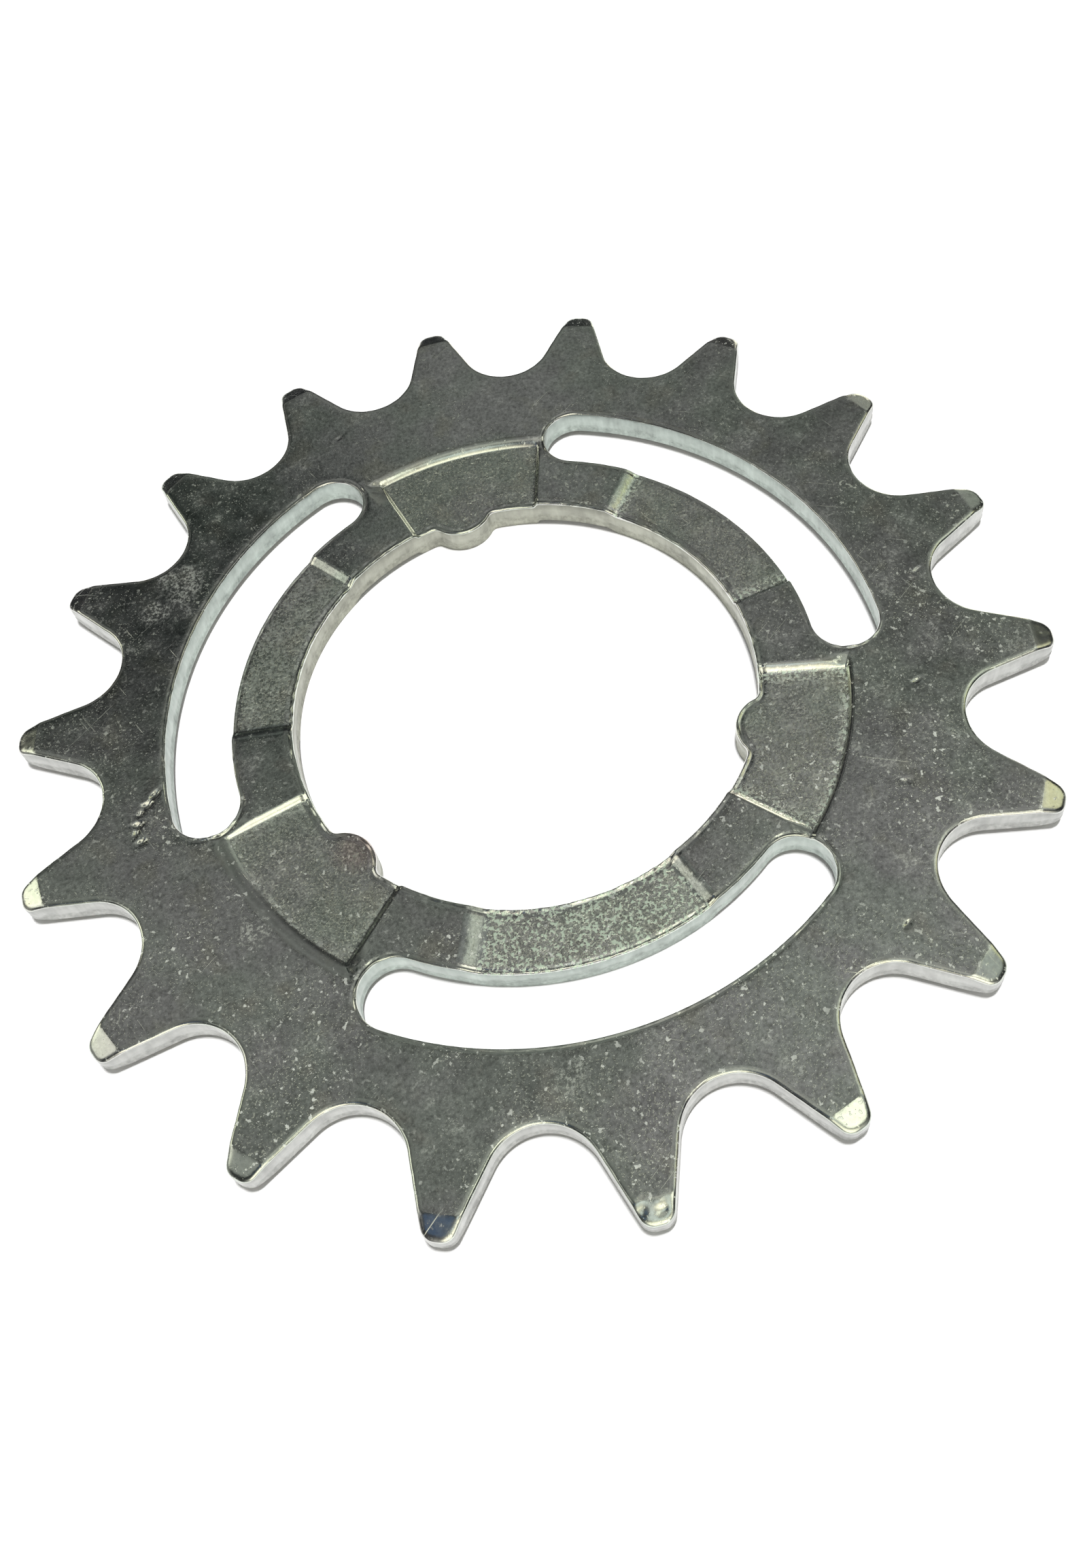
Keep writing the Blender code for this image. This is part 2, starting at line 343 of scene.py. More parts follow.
def burnish_and_sheen(points):
    """How strongly each floor is marked and given a painted sheen, which is most along its sides and, on the
    lug sectors, in a painted highlight band inside the outer arc.
    """
    radius = np.hypot(points[:, 0], points[:, 1])
    # Painted highlight: a bright band just inside the lug sectors' outer arc.
    rim = smooth(1 - np.abs(radius - LUG_SECTOR_RADIUS + RIM_SHEEN_OFFSET) / RIM_SHEEN_REACH)
    result = np.zeros(len(points))
    for i, _, by_lug, lug, by_slot, slot in sectors(points):
        for (middle, most), out, here in (
            (LUG_BURNISH_AND_SHEEN[i], lug, by_lug * (radius < LUG_SECTOR_RADIUS + RIM_SHEEN_OFFSET)),
            (SLOT_BURNISH_AND_SHEEN[i], slot, by_slot * (radius < SLOT_MIDDLE_RADIUS)),
        ):
            edge = np.maximum(smooth(1 + out / BURNISH_AND_SHEEN_SIDE), rim)
            fade = smooth(1 - out / BURNISH_AND_SHEEN_FADE)
            result = np.maximum(result, (middle + (most - middle) * edge) * fade * here)
    return result


def chamfer(points):
    """Depth of the turned chamfer on the tooth tips, with its crest rounded."""
    out = np.hypot(points[:, 0], points[:, 1]) - CHAMFER_START
    soft = np.where(np.abs(out) < CREST, (out + CREST) ** 2 / (4 * CREST), np.maximum(out, 0))
    return soft * CHAMFER_DEPTH / (TIP_RADIUS - CHAMFER_START)


def grain(points, size, seed):
    return np.array([noise.noise(Vector(p) / size + Vector((seed, 0, 0))) for p in points])


def waves(points, layers, seed):
    flat = np.column_stack((points, np.zeros(len(points))))
    return sum(depth * grain(flat, size, seed + size) for size, depth in layers)


def corner_places():
    """The outer corners of the lug sectors, where the pressed metal has crinkled."""
    places = []
    for i in range(COPIES):
        for side in (-1, 1):
            angle = QUARTER + PRESS_TURN + i * THIRD + side * (LUG_SECTOR_HALF_ANGLE + CORNER_TURN)
            places.append(polar(LUG_SECTOR_RADIUS + CORNER_OUT, angle))
    return places


def by_corners(points, reach):
    """1 at the lug sectors' outer corners and 0 from the reach on."""
    distance = np.min([np.linalg.norm(points - place, axis=1) for place in corner_places()], axis=0)
    return smooth(1 - distance / reach)


def marks(points):
    """Height of the small accidents in the front face: nicks, and crinkles at the lug sectors' corners."""
    height = np.zeros(len(points))
    for place, length, width, turn, depth in NICKS:
        local = turned(points - place, -math.radians(turn))
        along, across = local[:, 0] / (length / 2), local[:, 1] / width
        height += depth * (0.6 * np.exp(-(along**2) - (across - 1.6) ** 2) - np.exp(-(along**2) - across**2))
    return height + by_corners(points, CRINKLE_REACH) * waves(points, ((CRINKLE_SIZE, CRINKLE_DEPTH),), 17)


def face_heights(points):
    """Heights of the front and the rear face at each point, and how much of the front is coined."""
    depth, floors = relief(points)
    cut = chamfer(points)
    on_chamfer = smooth(cut / CHAMFER_BLEND)
    rough = waves(points, WAVES, 1) * (1 - on_chamfer)
    rough += waves(points, COINED_WAVES, 5) * smooth(floors) + waves(points, CHAMFER_WAVES, 9) * on_chamfer
    front = np.minimum(TOP - depth - cut + rough + marks(points), TOP + FACE_ALLOWANCE)
    return front, PRESS_DEPTH - depth + cut, floors


# Triangles of the flat faces

def inside(points, loop):
    """Whether each point lies inside the closed loop."""
    result = np.zeros(len(points), bool)
    x, y = points[:, 0], points[:, 1]
    for (x0, y0), (x1, y1) in zip(loop, np.roll(loop, -1, 0)):
        if y0 == y1:
            continue
        crosses = (y0 > y) != (y1 > y)
        result ^= crosses & (x < (x1 - x0) * (y - y0) / (y1 - y0) + x0)
    return result


def on_metal(points, loops):
    result = inside(points, loops[0])
    for loop in loops[1:]:
        result &= ~inside(points, loop)
    return result


def ramp_edges(shape):
    """Distances from a sector's side at which its ramp's slope changes."""
    start, width, top = shape
    foot = FOOT_ROUNDING * width
    at = (-foot, 0, foot, (foot + width - top) / 2, width - top, width, width + top / 2, width + top)
    return [start + distance for distance in at]


def side_lines(middle, turn, start, end, distances):
    """Lines at some distances along a pressed sector's side, which lies a turn from its middle."""
    radii = np.linspace(start, end, round((end - start) / LINE_SPACING) + 1)
    lines = []
    for distance in distances:
        angles = middle + turn + np.arcsin(distance / radii)
        lines.append(np.column_stack((radii * np.cos(angles), radii * np.sin(angles))))
    return lines


def feature_lines():
    """Lines along which the faces bend, which the mesh's edges follow."""
    lines = []
    start = BORE_RADIUS + BORE_EDGE[0][0] + LINE_END_GAP
    for i in range(COPIES):
        middle = QUARTER + PRESS_TURN + i * THIRD
        end = LUG_SECTOR_RADIUS - LUG_ARC_ROUNDING - LINE_END_GAP
        for side in (-1, 1):
            distances = np.array(ramp_edges(LUG_SIDES[i, side]) + list(DIP_LINES))
            lines += side_lines(middle, side * LUG_SECTOR_HALF_ANGLE, start, end, side * distances)
        half = LUG_SECTOR_HALF_ANGLE
        outs = [-LUG_ARC_ROUNDING, 0, LUG_ARC_ROUNDING]
        for out in outs + [LUG_ARC_RAMPS[i] * share for share in ARC_LINE_SHARES]:
            lines.append(arc((0, 0), LUG_SECTOR_RADIUS + out, middle - half, middle + half, LINE_SPACING))
        end = SLOT_INNER_RADIUS - SLOT_EDGE[0][0] - LINE_END_GAP
        for side in (-1, 1):
            distances = np.array(ramp_edges(SLOT_SIDES[i, side]))
            turn = side * SLOT_SECTOR_HALF_ANGLE
            lines += side_lines(middle + THIRD / 2, turn, start, end, side * distances)
    for i in range(TEETH):
        middle = QUARTER + i * 2 * math.pi / TEETH
        first, last = middle - CHAMFER_LINE_HALF_ANGLE, middle + CHAMFER_LINE_HALF_ANGLE
        for out in CHAMFER_LINES:
            lines.append(arc((0, 0), CHAMFER_START + out, first, last, CHAMFER_LINE_SPACING))
    return lines


def grid(spacing, centre=(0.0, 0.0), reach=TIP_RADIUS):
    """A triangular grid of points round a place."""
    rows = np.arange(-reach, reach, spacing * math.sqrt(3) / 2)
    columns = np.arange(-reach, reach, spacing)
    points = np.array([(x + spacing / 2 * (i % 2), y) for i, y in enumerate(rows) for x in columns])
    return points[np.linalg.norm(points, axis=1) < reach] + centre


def fine_grids():
    """Finer points round the nicks and crinkles."""
    spots = [(place, length) for place, length, _, _, _ in NICKS]
    spots += [(place, CRINKLE_REACH / 2) for place in corner_places()]
    return np.vstack([grid(FINE_SPACING, place, reach) for place, reach in spots])


def far_from(points, others, clearance):
    tree = kdtree.KDTree(len(others))
    for i, (x, y) in enumerate(others):
        tree.insert((x, y, 0), i)
    tree.balance()
    return np.array([tree.find((x, y, 0))[2] > clearance for x, y in points])


def flat_triangles(loops):
    """Points and triangles that fill the face between the loops, and where each loop's points went."""
    points, edges, starts = [], [], []
    for loop in loops:
        starts.append(len(points))
        n = len(loop)
        edges += [(starts[-1] + i, starts[-1] + (i + 1) % n) for i in range(n)]
        points += list(loop)
    for line in feature_lines():
        line = line[on_metal(line, loops)]
        if len(line) > 1:
            edges += [(len(points) + i, len(points) + i + 1) for i in range(len(line) - 1)]
            points += list(line)
    for fill, clearance in ((fine_grids(), FINE_CLEARANCE), (grid(GRID_SPACING), GRID_CLEARANCE)):
        fill = fill[on_metal(fill, loops)]
        points += list(fill[far_from(fill, np.array(points), clearance)])
    out, _, faces, origins, _, _ = geometry.delaunay_2d_cdt([Vector(p) for p in points], edges, [], 1, 1e-5)
    out = np.array([tuple(p) for p in out])
    faces = np.array([f for f in faces if len(f) == 3])
    faces = faces[on_metal(out[faces].mean(1), loops)]
    place = {}
    for i, origin in enumerate(origins):
        for j in origin:
            place[j] = i
    loop_places = [np.array([place[s + i] for i in range(len(loop))]) for s, loop in zip(starts, loops)]
    return out, faces, loop_places


# The whole plate

PLATE, COINED, WORKED, BENT, OUTLINE_WALL, BORE_WALL, SLOT_WALL = range(7)


def face_kinds(points, floors, triangles):
    """Which kind of face each triangle is, from its place and how coined its corners are."""
    middle = points[triangles].mean(1)
    radius, angle = np.hypot(middle[:, 0], middle[:, 1]), np.arctan2(middle[:, 1], middle[:, 0])
    least, most = floors[triangles].min(1), floors[triangles].max(1)
    kind = np.where(least > COINED_FROM, COINED, np.where(most > RAMP_FROM, WORKED, PLATE))
    from_slot_sector = np.abs(wrapped(COPIES * (angle + QUARTER - PRESS_TURN))) / COPIES
    bent = (kind == WORKED) & (from_slot_sector < SLOT_SECTOR_HALF_ANGLE + BENT_MARGIN)
    kind = np.where(bent, BENT, kind)
    return np.where(radius > CHAMFER_START, WORKED, kind)


def edge_rings(loop, section, kind):
    """Rings of points down a punched edge, from the front face's roll to the rear face's corner."""
    normal = into_metal(loop)
    rings = []
    for distance, roll, groove in section[1:]:
        at = loop + distance * normal
        height, _, _ = face_heights(at)
        uneven = grain(np.column_stack((at, height)), BURR_SIZE, 11.0)
        pressing_and_sheen = BURR_LEAST + (1 - BURR_LEAST) * np.maximum(burnish_and_sheen(at), by_corners(at, CORNER_BURR_REACH))
        height -= roll * (1 + EDGE_RAGGEDNESS * uneven)
        height -= groove * pressing_and_sheen * np.clip(1 + BURR_RAGGEDNESS * uneven, 0, 2)
        rings.append((np.column_stack((at, height)), PLATE if distance > EDGE_WORKED_WITHIN else WORKED))
    top = rings[-1][0][:, 2]
    _, bottom, _ = face_heights(loop)
    bottom = bottom + REAR_EDGE[0][1]
    for share, distance, tear in WALL:
        height = top + (bottom - top) * share
        torn = grain(np.column_stack((loop, height)), TEAR_SIZE, 3.0)
        at = loop + (distance + tear * torn)[:, None] * normal
        rings.append((np.column_stack((at, height)), kind))
    for distance, rise in REAR_EDGE:
        at = loop + distance * normal
        _, height, _ = face_heights(at)
        rings.append((np.column_stack((at, height + rise)), kind))
    return rings


def plate_mesh():
    """Vertices, groups of faces, and the kind of each face."""
    loops = edge_loops()
    sections = [OUTLINE_EDGE, BORE_EDGE] + [SLOT_EDGE] * COPIES
    walls = [OUTLINE_WALL, BORE_WALL] + [SLOT_WALL] * COPIES
    inset = [loop + section[0][0] * into_metal(loop) for loop, section in zip(loops, sections)]
    flat, triangles, places = flat_triangles(inset)
    front, rear, floors = face_heights(flat)
    vertices = [np.column_stack((flat, front)), np.column_stack((flat, rear))]
    kind = face_kinds(flat, floors, triangles)
    faces = [triangles, triangles[:, ::-1] + len(flat)]
    kinds = [kind, kind]
    total = 2 * len(flat)
    for loop, section, wall, place in zip(loops, sections, walls, places):
        last = place
        for ring, ring_kind in edge_rings(loop, section, wall) + [(None, PLATE)]:
            if ring is None:
                here = place + len(flat)
            else:
                here = np.arange(len(ring)) + total
                vertices.append(ring)
                total += len(ring)
            faces.append(np.column_stack((np.roll(last, -1), last, here, np.roll(here, -1))))
            kinds.append(np.full(len(here), ring_kind))
            last = here
    return np.vstack(vertices), faces, kinds


def make_sprocket():
    vertices, faces, kinds = plate_mesh()
    mesh = bpy.data.meshes.new("sprocket_plate")
    mesh.from_pydata(vertices * MM, [], [list(map(int, f)) for group in faces for f in group])
    mesh.polygons.foreach_set("material_index", np.concatenate(kinds).astype(np.int32))
    mesh.polygons.foreach_set("use_smooth", np.ones(len(mesh.polygons), bool))
    mesh.validate()
    mesh.update()
    pressing_and_sheen = mesh.attributes.new("burnish_and_sheen", "FLOAT", "POINT")
    pressing_and_sheen.data.foreach_set("value", burnish_and_sheen(vertices[:, :2]).astype(np.float32))
    obj = bpy.data.objects.new("sprocket_plate", mesh)
    bpy.context.scene.collection.objects.link(obj)
    return obj


# Materials

# Each family of scratches: turn in degrees, length, width, share
SCRATCHES = ((38, 9.0, 0.14, 0.235), (-24, 6.0, 0.12, 0.22), (81, 5.0, 0.12, 0.2), (-62, 4.0, 0.16, 0.23))
# Stains on the face: place, radius
STAINS = (((-24.9, 18.0), 2.6), ((-27.5, 15.6), 1.7), ((-22.5, -14.1), 1.9), ((-3.0, -29.5), 2.0))
STAIN_CHALK = 0.25
# Colours of the bright marks, and of the chalky curls where the floors were pressed hard
BRIGHT = (0.86, 0.9, 0.83)
CHALKY = (0.76, 0.89, 0.74)
# Casts of the plating, which multiply its colour
GREENISH = (0.98, 1.01, 0.97)
PURPLISH = (1.02, 0.985, 1.015)
BROWNISH = (1.04, 1.0, 0.94)
REDDISH = (0.93, 0.78, 0.8)
REDDISH_PLACE = polar(LUG_TIP_RADIUS + 1.1, QUARTER + LUG_TURN + THIRD)
REDDISH_RADIUS = 2.4
# Sizes of the plating's patterns
CAST_SIZE = 6.0
BROWN_SIZE = 3.0
LARGE_SPECK_SIZE = 0.4
CURL_SIZE = 0.24
CURL_CHALK = 0.45
GROUP_SIZE = 5.0
CHALK_METALLIC = 0.55
ROUGHNESS_SPREAD = 0.05


def new_material(name):
    material = bpy.data.materials.new(name)
    material.use_nodes = True
    return material, material.node_tree, material.node_tree.nodes["Principled BSDF"]


def feed(tree, source, socket):
    """Feed a socket from another node, or set it to a constant."""
    if isinstance(source, bpy.types.NodeSocket):
        tree.links.new(source, socket)
    else:
        socket.default_value = source


def object_place(tree, turn=0.0, stretch=(1.0, 1.0, 1.0)):
    """Places on the object, in millimetres, turned in degrees about Z and then stretched."""
    place = tree.nodes.new("ShaderNodeTexCoord")
    mapping = tree.nodes.new("ShaderNodeMapping")
    mapping.vector_type = "TEXTURE"
    mapping.inputs["Rotation"].default_value = (0, 0, math.radians(turn))
    mapping.inputs["Scale"].default_value = Vector(stretch) * MM
    tree.links.new(place.outputs["Object"], mapping.inputs["Vector"])
    return mapping.outputs["Vector"]


def speckle(tree, place, size, seed, detail=2.0, roughness=0.5):
    node = tree.nodes.new("ShaderNodeTexNoise")
    node.noise_dimensions = "4D"
    node.inputs["Scale"].default_value = 1 / size
    node.inputs["W"].default_value = seed
    node.inputs["Detail"].default_value = detail
    node.inputs["Roughness"].default_value = roughness
    tree.links.new(place, node.inputs["Vector"])
    return node.outputs["Fac"]


def remap(tree, value, low, high, to_low=0.0, to_high=1.0):
    node = tree.nodes.new("ShaderNodeMapRange")
    for name, number in (("From Min", low), ("From Max", high), ("To Min", to_low), ("To Max", to_high)):
        node.inputs[name].default_value = number
    tree.links.new(value, node.inputs["Value"])
    return node.outputs["Result"]


def calculate(tree, operation, first, second):
    node = tree.nodes.new("ShaderNodeMath")
    node.operation = operation
    feed(tree, first, node.inputs[0])
    feed(tree, second, node.inputs[1])
    return node.outputs["Value"]


def blend(tree, share, first, second, mode="MIX"):
    node = tree.nodes.new("ShaderNodeMix")
    node.data_type = "RGBA"
    node.blend_type = mode
    feed(tree, share, node.inputs["Factor"])
    for color, socket in ((first, node.inputs["A"]), (second, node.inputs["B"])):
        colors = [s for s in node.inputs if s.name == socket.name and s.type == "RGBA"]
        feed(tree, (*color, 1.0) if isinstance(color, tuple) else color, colors[0])
    return next(s for s in node.outputs if s.type == "RGBA")


def scaled(tree, color, factor):
    node = tree.nodes.new("ShaderNodeVectorMath")
    node.operation = "SCALE"
    feed(tree, color, node.inputs[0])
    feed(tree, factor, node.inputs["Scale"])
    return node.outputs["Vector"]


def bumped(tree, height, depth, normal=None):
    node = tree.nodes.new("ShaderNodeBump")
    node.inputs["Distance"].default_value = depth * MM
    tree.links.new(height, node.inputs["Height"])
    if normal is not None:
        tree.links.new(normal, node.inputs["Normal"])
    return node.outputs["Normal"]


def near(tree, place, centre, radius):
    """1 at a place on the face and 0 from the radius on."""
    node = tree.nodes.new("ShaderNodeVectorMath")
    node.operation = "DISTANCE"
    tree.links.new(place, node.inputs[0])
    node.inputs[1].default_value = (*centre, TOP)
    return remap(tree, node.outputs["Value"], radius, 0.0)


def scratches(tree):
    """Fine straight scratches in several directions, in patches."""
    total = 0.0
    for i, (turn, length, width, share) in enumerate(SCRATCHES):
        lines = speckle(tree, object_place(tree, turn, (length, width, 50.0)), 1.0, 20.0 + i, 0.0)
        total = calculate(tree, "MAXIMUM", total, remap(tree, lines, 1 - share, 1.03 - share))
    return total


def zinc(name, color, roughness, mottling, grit, specks):
    """Plated face: mottling (size, strength), grit (size, strength, depth), and specks (size, share,
    roughness, depth)."""
    material, tree, shader = new_material(name)
    place = object_place(tree)
    pressing_and_sheen = tree.nodes.new("ShaderNodeAttribute")
    pressing_and_sheen.attribute_name = "burnish_and_sheen"
    cloud = speckle(tree, place, CAST_SIZE, 1.0, 3.0)
    tint = blend(tree, remap(tree, cloud, 0.42, 0.58), GREENISH, PURPLISH)
    tint = blend(tree, remap(tree, speckle(tree, place, BROWN_SIZE, 9.0, 3.0), 0.55, 0.7), tint, BROWNISH)
    patches = speckle(tree, place, mottling[0], 2.0, 4.0, 0.6)
    fine = speckle(tree, place, grit[0], 3.0, 3.0, 0.65)
    shade = calculate(tree, "MULTIPLY", remap(tree, patches, 0.3, 0.7, 1 - mottling[1], 1 + mottling[1]),
                      remap(tree, fine, 0.3, 0.7, 1 - grit[1], 1 + grit[1]))
    # Painted sheen: the floors' colour is lightened by up to a fifth where the floor attribute is high.
    shade = calculate(tree, "MULTIPLY", shade, remap(tree, pressing_and_sheen.outputs["Fac"], 0.0, 1.0, 1.0, 1.2))
    at_lug = near(tree, place, REDDISH_PLACE, REDDISH_RADIUS)
    tint = blend(tree, remap(tree, at_lug, 0.1, 0.6), tint, REDDISH)
    plated = scaled(tree, blend(tree, 1.0, color, tint, "MULTIPLY"), shade)

    size, share, speck_roughness, speck_depth = specks
    split = tree.nodes.new("ShaderNodeSeparateXYZ")
    tree.links.new(place, split.inputs["Vector"])
    front = remap(tree, split.outputs["Y"], 22.0, -18.0, -0.04, 0.0)
    # Painted sheen too: more bright specks where the floor attribute is high.
    sheen_specks = calculate(tree, "MULTIPLY", pressing_and_sheen.outputs["Fac"], 0.02)
    more = calculate(tree, "ADD", front, sheen_specks)
    grains = calculate(tree, "ADD", speckle(tree, place, size, 4.0, 2.0, 0.6), more)
    dots = remap(tree, grains, 0.93 - share, 1.0 - share)
    large = remap(tree, speckle(tree, place, LARGE_SPECK_SIZE, 12.0, 2.0), 0.63, 0.67)
    curls = remap(tree, speckle(tree, place, CURL_SIZE, 13.0, 2.0), 0.5, 0.58)
    curls = calculate(tree, "MULTIPLY", curls, remap(tree, pressing_and_sheen.outputs["Fac"], 0.25, 0.9))
    groups = remap(tree, speckle(tree, place, GROUP_SIZE, 5.0, 3.0, 0.6), 0.4, 0.62, 0.2, 0.85)
    spots = calculate(tree, "MULTIPLY", calculate(tree, "MAXIMUM", dots, large), groups)
    spots = calculate(tree, "MAXIMUM", spots, curls)
    rubbed = calculate(tree, "MULTIPLY", scratches(tree), remap(tree, cloud, 0.45, 0.6, 0.1, 0.6))
    # Large chalky specks grow denser towards the front (-Y).
    front_share = calculate(tree, "MULTIPLY", groups, remap(tree, split.outputs["Y"], 12.0, -16.0, 0.05, 0.9))
    chalky = calculate(tree, "MAXIMUM", calculate(tree, "MULTIPLY", curls, CURL_CHALK),
                       calculate(tree, "MULTIPLY", large, front_share))
    for centre, radius in STAINS:
        frayed = remap(tree, patches, 0.3, 0.7, -0.4, 0.4)
        edge = calculate(tree, "ADD", near(tree, place, centre, radius), frayed)
        dotted = remap(tree, fine, 0.5, 0.62, 0.05, 0.7)
        stain = calculate(tree, "MULTIPLY", remap(tree, edge, 0.15, 0.6), dotted)
        rubbed = calculate(tree, "MAXIMUM", rubbed, stain)
        chalky = calculate(tree, "MAXIMUM", chalky, calculate(tree, "MULTIPLY", stain, STAIN_CHALK))
    marked = calculate(tree, "MAXIMUM", spots, rubbed)
    marks_color = blend(tree, curls, BRIGHT, CHALKY)
    feed(tree, blend(tree, marked, plated, marks_color), shader.inputs["Base Color"])

    dull = remap(tree, patches, 0.3, 0.7, roughness - ROUGHNESS_SPREAD, roughness + ROUGHNESS_SPREAD)
    mixed = calculate(tree, "MULTIPLY", marked, speck_roughness - roughness)
    feed(tree, calculate(tree, "ADD", dull, mixed), shader.inputs["Roughness"])
    normal = bumped(tree, fine, grit[2])
    feed(tree, bumped(tree, marked, speck_depth, normal), shader.inputs["Normal"])
    feed(tree, remap(tree, chalky, 0.0, 1.0, 1.0, CHALK_METALLIC), shader.inputs["Metallic"])
    return material


def sheared(name, color, painted_rim_shade):
    """Punched wall: burnished and streaked above, torn and dull below, and darkened just under the face by a
    painted shade.
    """
    material, tree, shader = new_material(name)
    place = object_place(tree)
    streaks = speckle(tree, object_place(tree, 0, (1.0, 1.0, 9.0)), 0.3, 6.0, 2.0)
    patches = speckle(tree, place, 1.6, 7.0, 3.0, 0.6)
    tears = speckle(tree, place, 0.3, 8.0, 3.0, 0.65)
    split = tree.nodes.new("ShaderNodeSeparateXYZ")
    tree.links.new(place, split.inputs["Vector"])
    height = calculate(tree, "ADD", split.outputs["Z"], remap(tree, patches, 0.3, 0.7, -0.35, 0.35))
    torn = remap(tree, height, 1.35, 1.0)
    shade = calculate(tree, "MULTIPLY", remap(tree, streaks, 0.3, 0.7, 0.92, 1.08),
                      remap(tree, patches, 0.3, 0.7, 0.78, 1.2))
    # Painted shade: the wall darkens towards its top edge, down to the rim factor at the top.
    shade = calculate(tree, "MULTIPLY", shade, remap(tree, split.outputs["Z"], 1.8, 2.5, 1.0, painted_rim_shade))
    rough_shade = calculate(tree, "MULTIPLY", shade, remap(tree, tears, 0.3, 0.7, 0.8, 1.25))
    burnished = scaled(tree, color, shade)
    feed(tree, blend(tree, torn, burnished, scaled(tree, color, rough_shade)), shader.inputs["Base Color"])
    feed(tree, remap(tree, torn, 0.0, 1.0, 0.3, 0.5), shader.inputs["Roughness"])
    normal = bumped(tree, streaks, 0.003)
    depth = calculate(tree, "MULTIPLY", tears, torn)
    feed(tree, bumped(tree, depth, 0.03, normal), shader.inputs["Normal"])
    shader.inputs["Metallic"].default_value = 1.0
    return material


# Studio

def direction(azimuth, elevation):
    a, e = math.radians(azimuth), math.radians(elevation)
    return Vector((math.cos(a) * math.cos(e), math.sin(a) * math.cos(e), math.sin(e)))


# Soft lights round the part: azimuth, elevation, the angles at which each stops being full and ends, and
# colour. The last four, with negative colours, darken patches of the ceiling.
SOFT_LIGHTS = (
    (-88, 37, 14, 30, (1.65, 1.57, 1.2)),
    (-40, 66, 7, 12, (2.0, 2.0, 1.65)),
    (-92, 71, 5, 9, (0.85, 0.93, 0.9)),
    (0, 90, 4, 13, (0.4, 0.4, 0.36)),
    (-141, 66, 5, 8, (0.06, 0.11, 0.2)),
    (-172, 56, 5, 9, (0.4, 0.41, 0.39)),
    (167, 43, 8, 13, (1.1, 1.1, 0.97)),
    (150, 33, 6, 12, (1.7, 1.7, 1.36)),
    (-8, 55, 6, 11, (0.4, 0.43, 0.42)),
    (12, 43, 6, 12, (0.98, 0.98, 0.62)),
    (49, 23, 7, 11, (0.34, 0.36, 0.32)),
    (57, 6, 4, 8, (2.3, 2.2, 1.8)),
    (67, 11, 3, 7, (0.03, 0.03, 0.027)),
    (20, 60, 4.5, 9, (0.85, 0.9, 0.74)),
    (34, 54, 4, 9, (0.3, 0.31, 0.26)),
    (114, 34, 5, 9, (0.08, 0.075, 0.07)),
    (72, 62, 20, 46, (0.19, 0.197, 0.185)),
    (90, 55, 6, 14, (0.025, 0.03, 0.027)),
    (124, 58, 4, 11, (0.06, 0.06, 0.057)),
    (62, 70, 4, 12, (0.14, 0.14, 0.14)),
    (-88, 18, 20, 60, (0.4, 0.4, 0.38)),
    (180, 8, 10, 35, (0.3, 0.3, 0.28)),
    (0, 8, 8, 20, (0.25, 0.25, 0.23)),
    (108.5, 48.5, 6, 11, (-0.19, -0.193, -0.185)),
    (88, 62, 3.5, 7.5, (-0.12, -0.13, -0.13)),
    (67, 48, 6, 13, (-0.07, -0.07, -0.07)),
    (59, 60, 3, 9, (-0.04, -0.04, -0.04)),
)
BASE_LIGHT = (0.03, 0.032, 0.034)
BACKGROUND = (1.0, 1.0, 1.0)
# The dome that diffuse surfaces see: the heights between which it brightens, and its light at each
DOME_HEIGHTS = (0.3, 1.0)
DOME_LIGHTS = (0.02, 0.55)
KEY_STRENGTH = 3.4
KEY_SIZE = math.radians(7)
KEY_PLACE = (12, 87)
FLOOR_REACH = 3.0
FLOOR_COLOR = (0.9, 0.9, 0.9)


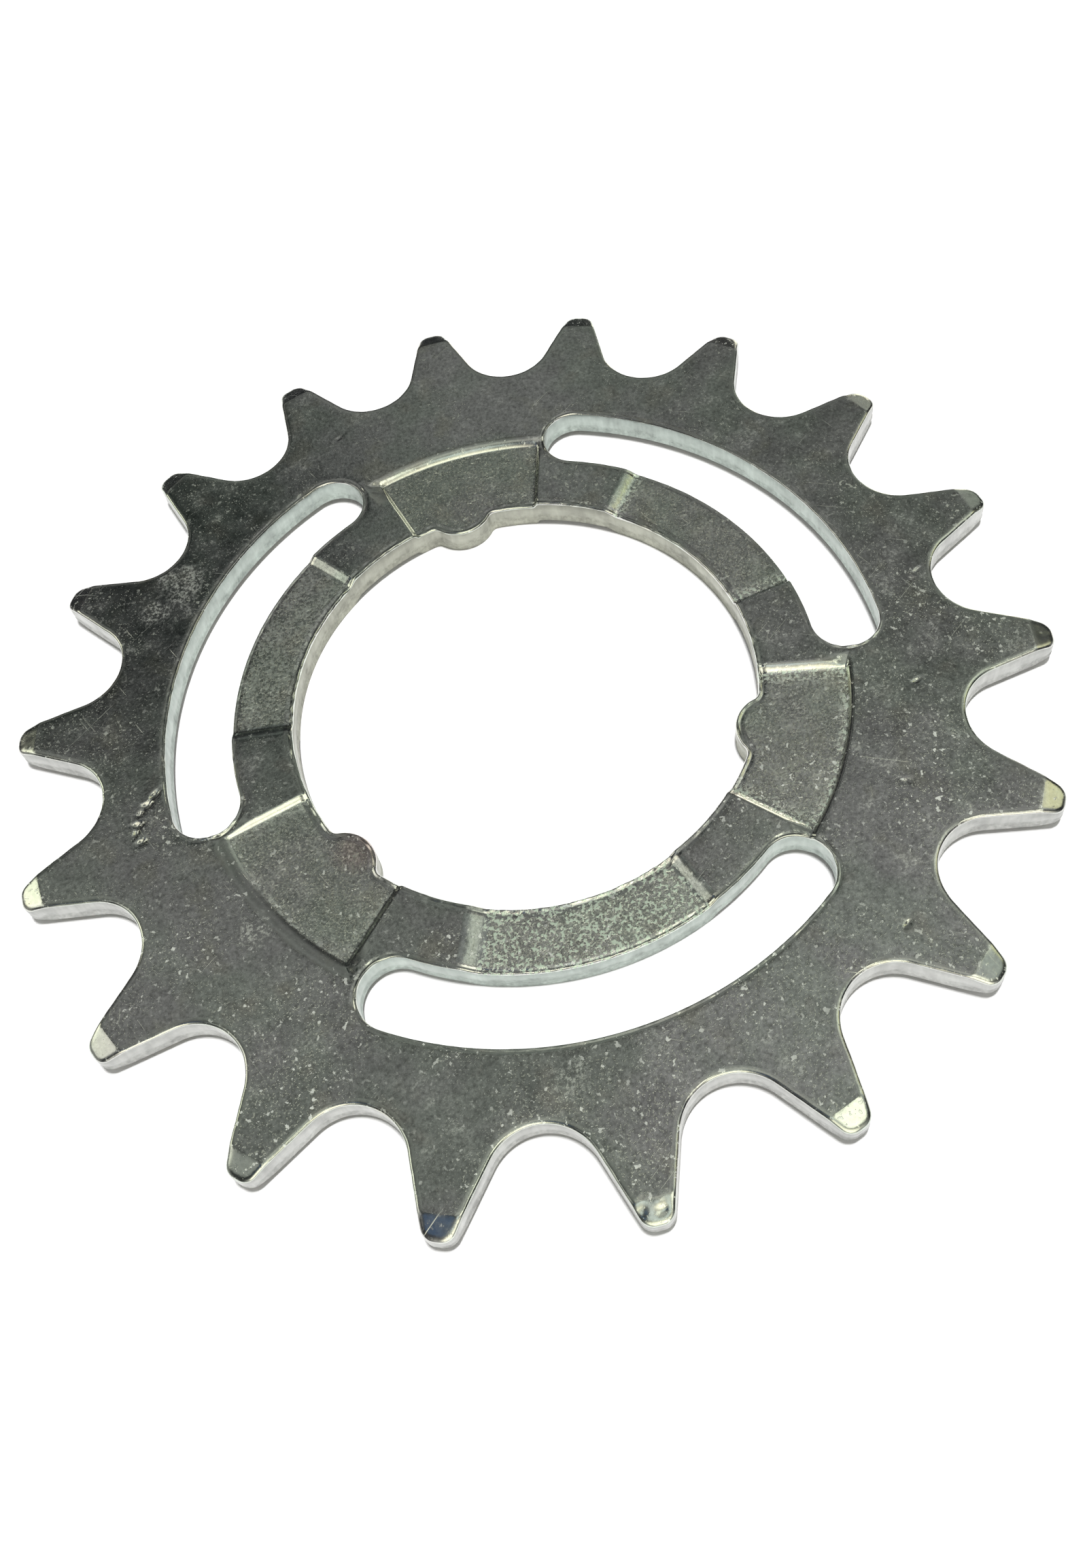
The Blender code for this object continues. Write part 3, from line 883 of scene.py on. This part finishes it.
def make_world():
    """The soft lights, which only reflections see: the camera sees a plain background and diffuse a dome."""
    world = bpy.data.worlds.new("studio")
    bpy.context.scene.world = world
    world.use_nodes = True
    nodes, links = world.node_tree.nodes, world.node_tree.links
    nodes.clear()
    place = nodes.new("ShaderNodeTexCoord")
    total = nodes.new("ShaderNodeCombineXYZ")
    for socket, value in zip(total.inputs, BASE_LIGHT):
        socket.default_value = value
    for azimuth, elevation, full, end, color in SOFT_LIGHTS:
        towards = nodes.new("ShaderNodeVectorMath")
        towards.operation = "DOT_PRODUCT"
        towards.inputs[1].default_value = direction(azimuth, elevation)
        links.new(place.outputs["Generated"], towards.inputs[0])
        fade = nodes.new("ShaderNodeMapRange")
        fade.interpolation_type = "SMOOTHSTEP"
        fade.inputs["From Min"].default_value = math.cos(math.radians(end))
        fade.inputs["From Max"].default_value = math.cos(math.radians(full))
        links.new(towards.outputs["Value"], fade.inputs["Value"])
        light = nodes.new("ShaderNodeVectorMath")
        light.operation = "SCALE"
        light.inputs[0].default_value = color
        links.new(fade.outputs["Result"], light.inputs["Scale"])
        add = nodes.new("ShaderNodeVectorMath")
        add.operation = "ADD"
        links.new(total.outputs[0], add.inputs[0])
        links.new(light.outputs["Vector"], add.inputs[1])
        total = add
    height = nodes.new("ShaderNodeSeparateXYZ")
    links.new(place.outputs["Generated"], height.inputs["Vector"])
    overhead = nodes.new("ShaderNodeMapRange")
    for name, number in zip(("From Min", "From Max", "To Min", "To Max"), DOME_HEIGHTS + DOME_LIGHTS):
        overhead.inputs[name].default_value = number
    links.new(height.outputs["Z"], overhead.inputs["Value"])
    studio = nodes.new("ShaderNodeBackground")
    links.new(total.outputs[0], studio.inputs["Color"])
    plain = nodes.new("ShaderNodeBackground")
    plain.inputs["Color"].default_value = (*BACKGROUND, 1.0)
    dome = nodes.new("ShaderNodeBackground")
    links.new(overhead.outputs["Result"], dome.inputs["Color"])
    path = nodes.new("ShaderNodeLightPath")
    shown = studio
    for ray, background in (("Is Camera Ray", plain), ("Is Diffuse Ray", dome)):
        mix = nodes.new("ShaderNodeMixShader")
        links.new(path.outputs[ray], mix.inputs["Fac"])
        links.new(shown.outputs[0], mix.inputs[1])
        links.new(background.outputs["Background"], mix.inputs[2])
        shown = mix
    out = nodes.new("ShaderNodeOutputWorld")
    links.new(shown.outputs[0], out.inputs["Surface"])


def make_key_light():
    light = bpy.data.lights.new("key", "SUN")
    light.energy = KEY_STRENGTH
    light.angle = KEY_SIZE
    obj = bpy.data.objects.new("key", light)
    bpy.context.scene.collection.objects.link(obj)
    obj.rotation_mode = "QUATERNION"
    obj.rotation_quaternion = direction(*KEY_PLACE).to_track_quat("Z", "Y")
    obj.visible_glossy = False


def make_floor():
    mesh = bpy.data.meshes.new("floor")
    corners = [(x * FLOOR_REACH, y * FLOOR_REACH, 0) for x, y in ((-1, -1), (1, -1), (1, 1), (-1, 1))]
    mesh.from_pydata(corners, [], [(0, 1, 2, 3)])
    obj = bpy.data.objects.new("floor", mesh)
    bpy.context.scene.collection.objects.link(obj)
    material, _, shader = new_material("paper")
    shader.inputs["Base Color"].default_value = (*FLOOR_COLOR, 1.0)
    shader.inputs["Roughness"].default_value = 0.9
    shader.inputs["Specular IOR Level"].default_value = 0.0
    mesh.materials.append(material)


# The camera that was fitted to the photograph
CAMERA_PLACE = (-0.45, -62.03, 99.11)
CAMERA_HEADING = math.radians(-2.46)
CAMERA_DIP = math.radians(54.05)
CAMERA_ROLL = math.radians(-12.36)
CAMERA_LENS = 34.6
CAMERA_SHIFT = (0.0069, -0.1184)


def make_camera():
    camera = bpy.data.cameras.new("camera")
    camera.lens = CAMERA_LENS
    camera.sensor_width = 36.0
    camera.shift_x, camera.shift_y = CAMERA_SHIFT
    camera.clip_start = 0.005
    obj = bpy.data.objects.new("camera", camera)
    bpy.context.scene.collection.objects.link(obj)
    turn = Matrix.Rotation(CAMERA_HEADING, 4, "Z")
    dip = Matrix.Rotation(QUARTER - CAMERA_DIP, 4, "X")
    roll = Matrix.Rotation(CAMERA_ROLL, 4, "Z")
    obj.matrix_world = Matrix.Translation(Vector(CAMERA_PLACE) * MM) @ turn @ dip @ roll
    bpy.context.scene.camera = obj


sprocket = make_sprocket()
# In the order of the kinds of face
for material in (
    zinc("zinc_plate", (0.53, 0.543, 0.52), 0.19, (2.2, 0.2), (0.24, 0.4, 0.008), (0.15, 0.35, 0.5, 0.012)),
    zinc("zinc_coined", (0.59, 0.615, 0.575), 0.26, (1.2, 0.18), (0.2, 0.45, 0.014),
         (0.15, 0.39, 0.45, 0.045)),
    zinc("zinc_worked", (0.6, 0.62, 0.58), 0.18, (1.0, 0.1), (0.3, 0.12, 0.005), (0.2, 0.28, 0.4, 0.01)),
    zinc("zinc_bent", (0.5, 0.54, 0.51), 0.24, (1.0, 0.2), (0.25, 0.3, 0.01), (0.15, 0.3, 0.4, 0.01)),
    sheared("outline_wall", (0.43, 0.435, 0.42), 0.95),
    sheared("bore_wall", (0.345, 0.35, 0.3), 0.7),
    sheared("slot_wall", (0.39, 0.435, 0.405), 0.95),
):
    sprocket.data.materials.append(material)
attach(sprocket, "root")
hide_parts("sprocket")

make_world()
make_key_light()
make_floor()
make_camera()
bpy.context.scene.view_settings.view_transform = "Standard"
